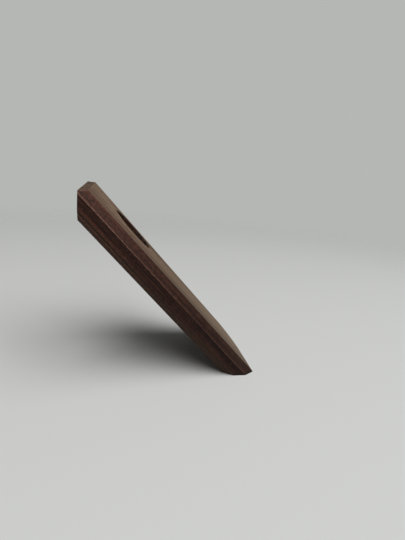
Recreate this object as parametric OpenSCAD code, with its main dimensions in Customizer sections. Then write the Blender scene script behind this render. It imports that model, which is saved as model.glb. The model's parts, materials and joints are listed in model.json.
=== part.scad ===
// Wine bottle holder: one leaning board of solid walnut that balances a bottle by its neck.
// Lengths are in millimetres and angles in degrees.
// The origin is the middle of the foot face, which stands on the table. +Z is up.
// The board leans towards -X as it rises, so its wide front face looks along +X and up.
// Looking along +X from behind, the side towards -Y is the near side, +Y the far side.

/* [Board] */
// thickness, square to the wide face
board_t = 19; // [15:0.5:25]
// length of the wide front face, from its foot edge to its top edge
board_l = 194; // [165:1:225]
// width of the front face at the foot, between the two bevels
foot_w = 73.5; // [64:0.5:90]
// how far each long edge splays out on the way up
splay_deg = 3; // [0:0.25:4]
// angle between the front face and the table
lean_deg = 45.8; // [40:0.2:52]

/* [Edges] */
// width of the 45 degree bevels along the long edges, measured along the face
bevel_w = 5.8; // [2:0.2:7]
// depth of the level top face, from the front edge back to the upright rear face
top_depth = 6.7; // [3:0.1:12]
// radius of the rounded foot corner on the far side
corner_r = 38; // [12:1:44]

/* [Neck hole] */
// diameter of the hole for the bottle neck
hole_d = 42; // [36:0.5:44]
// distance of the hole's centre up the front face from the foot edge
hole_up = 146; // [125:1:150]
// how far the hole's centre lies from the middle of the board, towards the far side
hole_offset = 16; // [0:0.5:17]

/* [Hidden] */
$fn = 96;

// how far each cutting solid runs past the wood
overrun = 20;
// share that places a mirrored pair on either side of the middle
half_share = 1 / 2;
// angle of the bevels to the face
bevel_deg = 45;

// the foot face is a level cut, so it is longer front to back than the board is thick
foot_l = board_t / sin(lean_deg);
tip_x = foot_l * half_share;
heel_x = -tip_x;
top_x = tip_x - board_l * cos(lean_deg);
top_z = board_l * sin(lean_deg);
rear_x = top_x - top_depth;
// height at which the upright rear face meets the underside
rear_z = (heel_x - rear_x) * tan(lean_deg);

// half the width over the bevels, at the foot edge
foot_half_w = foot_w * half_share + bevel_w;
// how much the board gains on each side between foot and top
splay_gain = board_l * tan(splay_deg);
blank_w = (foot_half_w + splay_gain + overrun) / half_share;
// length of a cutter that runs past both ends of a long edge
edge_cut_l = (board_l + overrun + overrun) / cos(splay_deg);
// height of a cutter that runs past both faces
face_cut_t = board_t + overrun + overrun;
// the bevel's cutting plane, wide enough to clear the corner of the wood on both sides
bevel_cut_w = bevel_w / cos(bevel_deg) + overrun + overrun;

// centre of the rounded corner: it touches the foot edge and the far side
corner_up = corner_r;
corner_side = foot_half_w + corner_up * tan(splay_deg) - corner_r / cos(splay_deg);

// places its child on the front face: -X runs up the board from the foot edge, +Z leaves the face
module on_face() {
    translate([tip_x, 0, 0])
        rotate([0, lean_deg, 0])
            children();
}

// places its child along the upper rim of one long edge; side is -1 near or 1 far
module along_edge(side, from_middle) {
    translate([0, side * from_middle, 0])
        rotate([0, 0, -side * splay_deg])
            translate([-board_l - overrun, 0, 0])
                children();
}

// side view of the board with its level foot, level top and upright rear, drawn out to full width
module blank() {
    rotate([90, 0, 0])
        linear_extrude(height = blank_w, center = true)
            polygon([
                [tip_x, 0],
                [top_x, top_z],
                [rear_x, top_z],
                [rear_x, rear_z],
                [heel_x, 0]
            ]);
}

// waste beyond one splayed side
module side_waste(side) {
    along_edge(side, foot_half_w)
        translate([0, side < 0 ? -blank_w : 0, -board_t - overrun])
            cube([edge_cut_l, blank_w, face_cut_t]);
}

// waste over one bevel on the front face
module bevel_waste(side) {
    along_edge(side, foot_w * half_share)
        rotate([-side * bevel_deg, 0, 0])
            translate([0, side < 0 ? overrun - bevel_cut_w : -overrun, 0])
                cube([edge_cut_l, bevel_cut_w, overrun]);
}

// waste outside the rounded corner
module corner_waste() {
    difference() {
        translate([-corner_up, corner_side, -board_t - overrun])
            cube([corner_up + overrun, corner_r + overrun, face_cut_t]);
        translate([-corner_up, corner_side, -board_t - overrun])
            cylinder(r = corner_r, h = face_cut_t);
    }
}

// the bore for the bottle neck, square to the front face
module neck_bore() {
    translate([-hole_up, hole_offset, -board_t - overrun])
        cylinder(d = hole_d, h = face_cut_t);
}

// board: solid walnut, the whole holder in one piece
module holder_board() {
    color([0.36, 0.24, 0.17])
        difference() {
            blank();
            on_face() {
                side_waste(-1);
                side_waste(1);
                bevel_waste(-1);
                bevel_waste(1);
                translate([0, 0, -board_t])
                    mirror([0, 0, 1]) {
                        bevel_waste(-1);
                        bevel_waste(1);
                    }
                corner_waste();
                neck_bore();
            }
        }
}

holder_board();
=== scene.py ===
"""Wine bottle holder: one leaning board of dark walnut. Metres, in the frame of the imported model."""
import json
import math
from functools import partial

import bpy
from mathutils import Matrix, Vector


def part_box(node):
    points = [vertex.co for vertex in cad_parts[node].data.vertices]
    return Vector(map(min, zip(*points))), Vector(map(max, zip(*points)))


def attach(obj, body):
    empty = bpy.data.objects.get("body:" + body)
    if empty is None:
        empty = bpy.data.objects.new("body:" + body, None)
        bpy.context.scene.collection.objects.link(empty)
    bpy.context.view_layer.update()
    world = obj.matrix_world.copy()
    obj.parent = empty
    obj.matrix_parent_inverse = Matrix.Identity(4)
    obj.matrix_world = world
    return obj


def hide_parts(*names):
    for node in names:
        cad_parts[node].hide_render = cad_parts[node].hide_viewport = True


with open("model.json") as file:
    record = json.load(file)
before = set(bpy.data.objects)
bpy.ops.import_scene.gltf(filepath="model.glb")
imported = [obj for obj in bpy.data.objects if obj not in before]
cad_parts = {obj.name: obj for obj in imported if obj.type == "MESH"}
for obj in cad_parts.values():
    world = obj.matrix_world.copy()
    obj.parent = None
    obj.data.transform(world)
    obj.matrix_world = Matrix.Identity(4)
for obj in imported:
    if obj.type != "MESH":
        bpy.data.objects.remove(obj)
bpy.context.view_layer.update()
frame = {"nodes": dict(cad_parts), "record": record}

MM = 0.001

# Sizes of the board that the frame gives
neck_hole = next(mount for mount in frame["record"]["mounts"] if mount["name"] == "neck_hole")
hole_middle = Vector(neck_hole["pos_m"])
hole_r = neck_hole["dims"]["r_mm"] * MM
board_t = neck_hole["dims"]["length_mm"] * MM    # the hole runs square through the board
off_board = Vector(neck_hole["axis"])
up_board = Vector((-off_board.z, 0, off_board.x))
lean = math.atan2(off_board.x, off_board.z)      # front face to table
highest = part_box("holder_board")[1]
tip = Vector((highest.x, 0, 0))                  # middle of the foot's front edge
top_z = highest.z

# Sizes of the board that repeat the construction's
splay = math.radians(3)                          # each long edge to the middle line
bevel_w = 5.8 * MM
foot_w = 73.5 * MM                               # between the bevels
half_foot = foot_w / 2 + bevel_w
corner_r = 38 * MM                               # the rounded foot corner
corner_side = half_foot + corner_r * math.tan(splay) - corner_r / math.cos(splay)


# Materials
def linear(hex_colour):
    """A colour written as sRGB hex, turned to the linear values that Blender's sockets hold."""
    parts = [int(hex_colour[i:i + 2], 16) / 255 for i in (1, 3, 5)]
    parts = [v / 12.92 if v <= 0.04045 else ((v + 0.055) / 1.055) ** 2.4 for v in parts]
    return (*parts, 1.0)


def add(tree, kind, *given, stops=(), values=None, **settings):
    """Adds one node with its settings, and returns its output, or all of them where it has several.
    `given` fills its open inputs in order and `values` fills inputs by name, each from another node's
    output, a number, a vector or an sRGB hex colour. `stops` are those of a colour ramp. A map range is
    given its value, that value's two ends, and the ends that they become, which are 0 and 1 if left."""
    made = tree.nodes.new(kind)
    for name, value in settings.items():
        setattr(made, name, value)
    while stops and len(made.color_ramp.elements) < len(stops):
        made.color_ramp.elements.new(position=0.5)
    for index, (place, colour) in enumerate(stops):
        element = made.color_ramp.elements[index]
        element.position = place
        element.color = linear(colour) if isinstance(colour, str) else (colour, colour, colour, 1)
    filled = list(zip([socket for socket in made.inputs if socket.enabled], given))
    filled += [(made.inputs[name], value) for name, value in (values or {}).items()]
    for socket, value in filled:
        if isinstance(value, bpy.types.NodeSocket):
            tree.links.new(value, socket)
        else:
            socket.default_value = linear(value) if isinstance(value, str) else value
    outputs = [socket for socket in made.outputs if socket.enabled]
    return outputs[0] if len(outputs) == 1 else made.outputs


def new_material(name):
    """An empty material, and the call that adds nodes to it."""
    made = bpy.data.materials.new(name)
    made.use_nodes = True
    made.node_tree.nodes.clear()
    return made, partial(add, made.node_tree)


def distance_to_axis(put, vector, middle, turn, across):
    """How far a point lies from the axis through `middle`, and the point as seen from there. `across`
    holds 1 for both directions square to the axis."""
    local = put("ShaderNodeMapping", vector, middle, turn, vector_type="TEXTURE")
    flat = put("ShaderNodeVectorMath", local, across, operation="MULTIPLY")
    return put("ShaderNodeVectorMath", flat, operation="LENGTH"), local


# Walnut
# the blank was sawn nearly on the quarter: where its pith lay, and how the rings grew out from there
pith_out = 95 * MM                               # pith to the near edge, across the board
pith_behind = 26 * MM                            # pith to the front face
pith_turn = math.radians(-0.06)                  # pith to the grain along the near edge
ring_gap = 2.1 * MM                              # a mean year's growth
run_of_years = 9 * MM                            # growth over which good years turn to poor ones
ring_swing = 3.0                                 # the most rings that such a run gains or loses
near_growth = 20 * MM                            # the near side's, and 17 mm of the front face's
# how dark a ring is from its early wood to its late wood
ring_shares = ((0.0, 0.5), (0.15, 0.0), (0.5, 0.05), (0.85, 0.8), (0.96, 1.0), (1.0, 0.5))
# how dark the heartwood's bands are over the near growth: the darkest lies under the upper bevel
near_band_shares = ((0.0, 0.42), (0.028, 0.55), (0.042, 0.66), (0.052, 0.95), (0.10, 1.0),
                    (0.115, 0.35), (0.17, 0.3), (0.21, 0.45), (0.26, 0.3), (0.33, 0.2), (0.37, 0.1),
                    (0.43, 0.4), (0.5, 0.3), (1.0, 0.5))
# how much the flecks show over the near growth: most on the bevels, and least on the wide faces
fleck_shares = ((0.09, 0.25), (0.13, 0.38), (0.45, 0.38), (0.6, 0.18))
# how strongly each arris's paler line shows, a painted highlight and partly rubbed wear, from the
# underside to the front face
highlight_and_wear_shares = ((0.0, 0.15), (0.32, 0.15), (0.6, 0.88), (0.8, 0.88), (1.0, 0.35))
# the wood from its palest tone to its darkest
long_grain_tones = ((0.0, "#825543"), (0.25, "#613b2f"), (0.5, "#432a23"), (0.75, "#2c1c19"),
                    (1.0, "#1a1110"))
end_grain_tones = ((0.0, "#7a5f56"), (0.35, "#574139"), (0.7, "#342520"), (1.0, "#1c1311"))
pore_colour = "#140c0a"
end_pore_colour = "#1a1210"
fleck_colour = "#75503f"
# a painted highlight along the arrises, and partly rubbed wear
highlight_and_rubbed_colour = "#8f6a5a"
painted_shade_colour = "#120b09"                          # painted shade: the drilled wall and the contact line at the foot


def drawn_out(put, grain, kind, long, wide, shift=(0, 0, 0), **values):
    """A texture drawn out along the grain, with features as long and as wide as given."""
    per_metre = (1 / long, 1 / wide, 1 / wide)
    vector = put("ShaderNodeMapping", grain, shift, (0, 0, 0), per_metre, vector_type="POINT")
    return put(kind, vector, values={"Scale": 1.0, **values})


def growth(put, grain):
    """How dark a ring's late wood makes a point, how dark the heartwood's bands make it, and how far out
    from the near side's lower arris it grew, as a share of the near growth."""
    # slow wander of the rings, up to 1.4 mm either way, and less along the near edge, where the
    # grain runs true
    true_to, free_from = 4 * MM, 30 * MM
    least_stray, most_stray = 0.8 * MM, 3.5 * MM
    noise_mean = (0.5, 0.5, 0.5)
    wander = drawn_out(put, grain, "ShaderNodeTexNoise", long=110 * MM, wide=16.5 * MM,
                       Detail=2.0, Roughness=0.45)["Color"]
    wander = put("ShaderNodeVectorMath", wander, noise_mean, operation="SUBTRACT")
    from_near_edge = put("ShaderNodeSeparateXYZ", grain)["Y"]
    straying = put("ShaderNodeMapRange", from_near_edge, true_to, free_from, least_stray, most_stray)
    wander = put("ShaderNodeVectorMath", wander, straying, operation="SCALE")
    grown = put("ShaderNodeVectorMath", grain, wander, operation="ADD")
    pith = (0, -pith_out, -pith_behind)
    radius = distance_to_axis(put, grown, pith, (0, 0, pith_turn), across=(0, 1, 1))[0]

    # rings 1.5 mm to 3 mm apart, in good and poor years; the late wood is the dark edge of each
    years = put("ShaderNodeMath", radius, run_of_years, operation="DIVIDE")
    uneven = put("ShaderNodeTexNoise", years, noise_dimensions="1D",
                 values={"Scale": 1.0, "Detail": 1.0, "Roughness": 0.5})[0]
    ring = put("ShaderNodeMath", radius, ring_gap, operation="DIVIDE")
    ring = put("ShaderNodeMath", uneven, ring_swing, ring, operation="MULTIPLY_ADD")
    ring = put("ShaderNodeMath", ring, operation="FRACT")
    late = put("ShaderNodeValToRGB", ring, stops=ring_shares)[0]

    # bands of heartwood, which are 6 mm to 16 mm wide past the near growth
    span = put("ShaderNodeMapRange", radius, pith_out, pith_out + near_growth)
    near_bands = put("ShaderNodeValToRGB", span, stops=near_band_shares)[0]
    palest, darkest = 0.40, 0.60
    far_band_share = 0.9
    far_bands = put("ShaderNodeTexNoise", years, noise_dimensions="1D",
                    values={"Scale": 1.0, "Detail": 2.0, "Roughness": 0.6})[0]
    far_bands = put("ShaderNodeMapRange", far_bands, palest, darkest, 0.0, far_band_share)
    near_end, far_start = 0.45, 0.60
    further = put("ShaderNodeMapRange", span, near_end, far_start)
    bands = put("ShaderNodeMix", further, near_bands, far_bands)
    return late, bands, span


def figure(put, grain):
    """The fine figure of the wood: fibres, mottle, streaks, pores and flecks, each as a mask."""
    def mask(kind, none, full, **drawing):
        """A drawn-out texture as a mask: 0 where its value is `none` and 1 where it is `full`."""
        return put("ShaderNodeMapRange", drawn_out(put, grain, kind, **drawing)[0], none, full)

    # fibres: hair-thin in the real wood, drawn 0.8 mm wide so that they show
    fibre = mask("ShaderNodeTexNoise", none=0.41, full=0.59, long=70 * MM, wide=0.8 * MM,
                 Detail=3.0, Roughness=0.65)
    # mottle: where the fibres dip in and out of the surface
    mottle = mask("ShaderNodeTexNoise", none=0.41, full=0.59, long=2.1 * MM, wide=0.8 * MM,
                  shift=(2.3, 7.9, 4.1), Detail=1.0, Roughness=0.5)
    # streaks of colour
    streak = mask("ShaderNodeTexNoise", none=0.33, full=0.67, long=100 * MM, wide=2.6 * MM,
                  shift=(4.7, 0.4, 2.2), Detail=3.0, Roughness=0.6)
    # pores: open vessels 0.2 mm wide, drawn 0.5 mm wide so that they show
    pores = mask("ShaderNodeTexVoronoi", none=0.34, full=0.15, long=6 * MM, wide=1.05 * MM)
    # pale flecks: short shining fibres and the ends of rays, drawn 0.5 mm wide so that they show
    flecks = mask("ShaderNodeTexVoronoi", none=0.32, full=0.10, long=4 * MM, wide=1.15 * MM,
                  shift=(3.1, 1.7, 5.3))
    return fibre, mottle, streak, pores, flecks


def depths(put, place, board):
    """How deep a point lies under the outline, the nearer wide face, the bevels, the level top and the
    drilled wall. On any of these surfaces that depth is 0."""
    down_board, across_board, off_face = put("ShaderNodeSeparateXYZ", board)
    # the outline is the splayed side, or the round of the far foot corner
    from_side = put("ShaderNodeMath", across_board, operation="ABSOLUTE")
    from_side = put("ShaderNodeMath", down_board, math.tan(splay), from_side, operation="MULTIPLY_ADD")
    from_side = put("ShaderNodeMath", half_foot, from_side, operation="SUBTRACT")
    from_side = put("ShaderNodeMath", from_side, math.cos(splay), operation="MULTIPLY")
    corner_middle = (-corner_r, corner_side, 0)
    from_corner, local = distance_to_axis(put, board, corner_middle, (0, 0, 0), across=(1, 1, 0))
    from_corner = put("ShaderNodeMath", corner_r, from_corner, operation="SUBTRACT")
    past_foot, past_side = put("ShaderNodeSeparateXYZ", local)[:2]
    in_corner = put("ShaderNodeMath", past_foot, past_side, operation="MINIMUM")
    in_corner = put("ShaderNodeMath", in_corner, 0.0, operation="GREATER_THAN")
    from_outline = put("ShaderNodeMix", in_corner, from_side, from_corner)

    half_t = board_t / 2
    from_face = put("ShaderNodeMath", off_face, half_t, operation="ADD")
    from_face = put("ShaderNodeMath", from_face, operation="ABSOLUTE")
    from_face = put("ShaderNodeMath", half_t, from_face, operation="SUBTRACT")
    # the bevels lie at 45 degrees to the side and the face
    from_bevel = put("ShaderNodeMath", from_side, from_face, operation="ADD")
    from_bevel = put("ShaderNodeMath", from_bevel, bevel_w, operation="SUBTRACT")
    from_bevel = put("ShaderNodeMath", from_bevel, math.sqrt(0.5), operation="MULTIPLY")
    above_table = put("ShaderNodeSeparateXYZ", place)["Z"]
    from_top = put("ShaderNodeMath", top_z, above_table, operation="SUBTRACT")
    from_bore = distance_to_axis(put, place, hole_middle, (0, lean, 0), across=(1, 1, 0))[0]
    from_bore = put("ShaderNodeMath", from_bore, hole_r, operation="SUBTRACT")
    return from_outline, from_face, from_bevel, from_top, from_bore


def arris_highlight_and_wear(put, board, under_faces, drift, grain_marks):
    """Where the arrises are painted paler, a painted highlight and partly rubbed wear, and how strongly
    each arris shows it.
    """
    # a point lies on one face of the board, and where a second one is within the reach of a rubbing hand
    # it is on an arris; the paler line there is partly rubbed wear and partly a painted highlight
    reach = 0.65 * MM
    own_face = 1.0
    highlight_and_wear_mask = -own_face
    for depth in under_faces:
        closeness = put("ShaderNodeMapRange", depth, 0.0, reach, 1.0, 0.0)
        highlight_and_wear_mask = put("ShaderNodeMath", closeness, highlight_and_wear_mask, operation="ADD")
    # the line is broken up by the grain
    broken_share = 0.3
    for mark in grain_marks:
        highlight_and_wear_mask = put("ShaderNodeMath", mark, -broken_share, highlight_and_wear_mask, operation="MULTIPLY_ADD")
    faintest, clearest = 0.1, 0.8
    highlight_and_wear_mask = put("ShaderNodeMapRange", highlight_and_wear_mask, faintest, clearest)
    # the painted highlight and wear are strongest on the arris between the side and the upper bevel, and
    # hardly show on those of the underside and of the foot
    off_face = put("ShaderNodeSeparateXYZ", board)["Z"]
    highlight_and_wear_share = put("ShaderNodeMapRange", off_face, -board_t, 0.0)
    highlight_and_wear_share = put("ShaderNodeValToRGB", highlight_and_wear_share, stops=highlight_and_wear_shares)[0]
    foot_drift, foot_share = 0.8, 0.22
    near_foot = put("ShaderNodeMapRange", drift, 0.0, foot_drift, 1.0, foot_share)
    highlight_and_wear_share = put("ShaderNodeMath", highlight_and_wear_share, near_foot, operation="MULTIPLY")
    return highlight_and_wear_mask, highlight_and_wear_share


def foot_contact_shade(put, place, normal):
    """Painted contact shade on the lowest few millimetres, and how far a face turns away from the table,
    which keeps that shade off the foot's own face."""
    thick, gone = 0.2 * MM, 2.5 * MM
    thickest = 0.7
    above_table = put("ShaderNodeSeparateXYZ", place)["Z"]
    contact_shade = put("ShaderNodeMapRange", above_table, thick, gone, thickest, 0.0,
                interpolation_type="SMOOTHSTEP")
    facing_up = put("ShaderNodeSeparateXYZ", normal)["Z"]
    turned_away = put("ShaderNodeMath", facing_up, 1.0, operation="ADD", use_clamp=True)
    return contact_shade, turned_away


def walnut():
    """Dark walnut, planed, sanded and oiled. The long faces show red-brown and near-black bands and fine
    straight fibres, the level top, the rear and the foot show greyer end grain with its growth rings,
    the arrises are painted paler, partly rubbed wear and partly a painted highlight, and the drilled
    wall and the lowest millimetres are darkened with painted shade."""
    made, put = new_material("oiled_walnut")
    surface = put("ShaderNodeTexCoord")
    place, normal = surface["Object"], surface["Normal"]
    # board coordinates: X runs down the board to the foot edge, Y across it, Z off the front face
    board = put("ShaderNodeMapping", place, tip, (0, lean, 0), vector_type="TEXTURE")
    # the blank was sawn along its near edge, so the grain runs with that edge; Y counts from it
    near_foot_corner = (0, -half_foot, 0)
    grain = put("ShaderNodeMapping", board, near_foot_corner, (0, 0, splay), vector_type="TEXTURE")
    late, bands, span = growth(put, grain)
    fibre, mottle, streak, pores, flecks = figure(put, grain)
    under_faces = depths(put, place, board)
    from_bore = under_faces[-1]

    # the tone, from pale to dark: it deepens from the hole down to the foot
    by_hole, by_foot = -170 * MM, -40 * MM
    down_grain = put("ShaderNodeSeparateXYZ", grain)["X"]
    drift = put("ShaderNodeMapRange", down_grain, by_hole, by_foot, interpolation_type="SMOOTHSTEP")
    # the near side deepens less than the bevels and wide faces, and shows less mottle
    deepening_spans, deepening_weights = (0.11, 0.16), (0.15, 0.30)
    mottle_spans, mottle_weights = (0.085, 0.125), (0.11, 0.24)
    deepening = put("ShaderNodeMapRange", span, *deepening_spans, *deepening_weights)
    curliness = put("ShaderNodeMapRange", span, *mottle_spans, *mottle_weights)
    palest_tone = 0.07
    tone = palest_tone
    for source, weight in ((late, 0.18), (bands, 0.30), (streak, 0.16), (fibre, 0.22),
                           (mottle, curliness), (drift, deepening)):
        tone = put("ShaderNodeMath", source, weight, tone, operation="MULTIPLY_ADD")
    wood = put("ShaderNodeValToRGB", tone, stops=long_grain_tones)[0]

    # end grain, where a surface cuts across the fibres: greyer, with stronger rings and pore dots
    slightest_cut, clear_cut = 0.30, 0.65
    cut_across = put("ShaderNodeVectorMath", normal, up_board, operation="DOT_PRODUCT")
    cut_across = put("ShaderNodeMath", cut_across, operation="ABSOLUTE")
    end_grain = put("ShaderNodeMapRange", cut_across, slightest_cut, clear_cut)
    paler_by = 0.12
    end_tone = put("ShaderNodeMath", tone, paler_by, operation="SUBTRACT")
    for source, weight in ((late, 0.25), (bands, 0.35)):
        end_tone = put("ShaderNodeMath", source, weight, end_tone, operation="MULTIPLY_ADD")
    end_wood = put("ShaderNodeValToRGB", end_tone, stops=end_grain_tones)[0]
    end_pore_share = 0.7
    end_pores = put("ShaderNodeMath", pores, end_pore_share, operation="MULTIPLY")
    end_wood = put("ShaderNodeMix", end_pores, end_wood, end_pore_colour, data_type="RGBA")

    # layers over the plain wood: the drilled wall is darker than the planed faces, painted shade inside
    # the hole
    wall_depth = 0.15 * MM
    bore_shade = put("ShaderNodeMath", from_bore, wall_depth, operation="LESS_THAN")
    fleck_share = put("ShaderNodeValToRGB", span, stops=fleck_shares)[0]
    highlight_and_wear_mask, highlight_and_wear_share = arris_highlight_and_wear(put, board, under_faces, drift, grain_marks=(streak, mottle))
    contact_shade, turned_away = foot_contact_shade(put, place, normal)
    # the last three layers paint light and shade: shade in the hole, the arrises' highlight with some
    # wear, and contact shade at the foot
    for mask, share, colour in ((pores, 0.6, pore_colour), (flecks, fleck_share, fleck_colour),
                                (end_grain, 0.85, end_wood), (bore_shade, 0.55, painted_shade_colour),
                                (highlight_and_wear_mask, highlight_and_wear_share, highlight_and_rubbed_colour), (contact_shade, turned_away, painted_shade_colour)):
        cover = put("ShaderNodeMath", mask, share, operation="MULTIPLY")
        wood = put("ShaderNodeMix", cover, wood, colour, data_type="RGBA")

    smoothest = 0.31
    rough = smoothest
    for source, weight in ((fibre, 0.10), (bands, 0.2), (pores, 0.15), (end_grain, 0.12)):
        rough = put("ShaderNodeMath", source, weight, rough, operation="MULTIPLY_ADD")
    fibre_height = 0.2
    relief = put("ShaderNodeMath", fibre, fibre_height, operation="MULTIPLY")
    relief = put("ShaderNodeMath", relief, pores, operation="SUBTRACT")
    relief = put("ShaderNodeBump", values={"Height": relief, "Strength": 0.5, "Distance": 0.12 * MM})
    # the sheen stands for raised fibre ends, which catch the light at a glancing angle
    oiled = put("ShaderNodeBsdfPrincipled", values={
        "Base Color": wood, "Roughness": rough, "Normal": relief, "IOR": 1.5, "Specular IOR Level": 0.07,
        "Sheen Weight": 0.35, "Sheen Roughness": 0.35, "Sheen Tint": "#ffcd90"})
    put("ShaderNodeOutputMaterial", oiled)
    return made


# The board
def eased_board():
    """The board with its sawn arrises and hole rims eased as sandpaper leaves them."""
    eased_w = 0.5 * MM
    eased_from = math.radians(20)                # no softer corner is eased
    smooth_to = math.radians(30)
    weld_gap = 0.01 * MM
    level_to = math.radians(0.5)                 # facets that turn less than this are one face
    mesh = frame["nodes"]["holder_board"].data.copy()
    board = bpy.data.objects.new("board", mesh)
    bpy.context.scene.collection.objects.link(board)
    bpy.ops.object.select_all(action="DESELECT")
    board.select_set(True)
    bpy.context.view_layer.objects.active = board
    bpy.ops.object.mode_set(mode="EDIT")
    bpy.ops.mesh.select_all(action="SELECT")
    bpy.ops.mesh.remove_doubles(threshold=weld_gap)
    bpy.ops.mesh.dissolve_limited(angle_limit=level_to)
    bpy.ops.object.mode_set(mode="OBJECT")
    ease = board.modifiers.new("eased arrises", "BEVEL")
    ease.width = eased_w
    ease.segments = 3
    ease.limit_method = "ANGLE"
    ease.angle_limit = eased_from
    bpy.ops.object.modifier_apply(modifier=ease.name)
    bpy.ops.object.shade_smooth_by_angle(angle=smooth_to)
    return board


board = eased_board()
board.data.materials.clear()
board.data.materials.append(walnut())
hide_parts("holder_board")
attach(board, "root")


# Floor
def pale_floor():
    """A matt pale sheet that fades into the even backdrop round the board."""
    sheet_w = 6
    fade_from, fade_to = 0.40, 1.1
    bpy.ops.object.select_all(action="DESELECT")
    bpy.ops.mesh.primitive_plane_add(size=sheet_w, location=(0, 0, 0))
    sheet = bpy.context.active_object
    sheet.name = "floor"
    made, put = new_material("matt_sheet")
    matt = put("ShaderNodeBsdfPrincipled", values={"Base Color": "#d8d9d7", "Roughness": 0.8})
    away = put("ShaderNodeVectorMath", put("ShaderNodeTexCoord")["Object"], operation="LENGTH")
    fade = put("ShaderNodeMapRange", away, fade_from, fade_to, interpolation_type="SMOOTHSTEP")
    both = put("ShaderNodeMixShader", fade, matt, put("ShaderNodeBsdfTransparent"))
    put("ShaderNodeOutputMaterial", both)
    sheet.data.materials.append(made)


pale_floor()


# Light
def soft_lamp(name, place, aim, width, watts):
    """A square lamp, wide enough for soft shadows."""
    data = bpy.data.lights.new(name, "AREA")
    data.shape = "SQUARE"
    data.size = width
    data.energy = watts
    lamp = bpy.data.objects.new(name, data)
    bpy.context.scene.collection.objects.link(lamp)
    lamp.location = place
    lamp.rotation_mode = "QUATERNION"
    lamp.rotation_quaternion = (Vector(aim) - Vector(place)).to_track_quat("-Z", "Y")


soft_lamp("overhead", place=(0.4, -0.95, 2.2), aim=(-0.03, 0, 0.05), width=2.8, watts=71)


def even_light():
    """Even light from all round; what the camera and the reflections see of it is the pale backdrop."""
    world = bpy.data.worlds.new("even_light")
    bpy.context.scene.world = world
    world.use_nodes = True
    world.node_tree.nodes.clear()
    put = partial(add, world.node_tree)
    fill = put("ShaderNodeBackground", values={"Color": "#e6e8e6", "Strength": 0.1})
    backdrop = put("ShaderNodeBackground", values={"Color": "#b5b7b4", "Strength": 1.0})
    path = put("ShaderNodeLightPath")
    seen = path["Is Camera Ray"]
    for ray in ("Is Glossy Ray", "Is Transmission Ray"):
        seen = put("ShaderNodeMath", seen, path[ray], operation="MAXIMUM")
    put("ShaderNodeOutputWorld", put("ShaderNodeMixShader", seen, fill, backdrop))


even_light()


# Camera
def fitted_camera():
    """The camera, fitted to the board's edges and the level and upright lines of the photograph."""
    place = Vector((-104.15, -339.0, 162.3)) * MM
    yaw, pitch, roll = math.radians(12.42), math.radians(13.97), math.radians(5.43)
    focal_pixels = 420.47
    longer_side_pixels = 540
    sensor_mm = 36
    data = bpy.data.cameras.new("camera")
    data.sensor_width = sensor_mm
    data.lens = focal_pixels * sensor_mm / longer_side_pixels
    camera = bpy.data.objects.new("camera", data)
    bpy.context.scene.collection.objects.link(camera)
    turn = Matrix.Rotation(-yaw, 4, "Z")
    turn @= Matrix.Rotation(math.pi / 2 - pitch, 4, "X")
    turn @= Matrix.Rotation(roll, 4, "Z")
    camera.matrix_world = Matrix.Translation(place) @ turn
    bpy.context.scene.camera = camera


fitted_camera()
bpy.context.scene.view_settings.view_transform = "Standard"
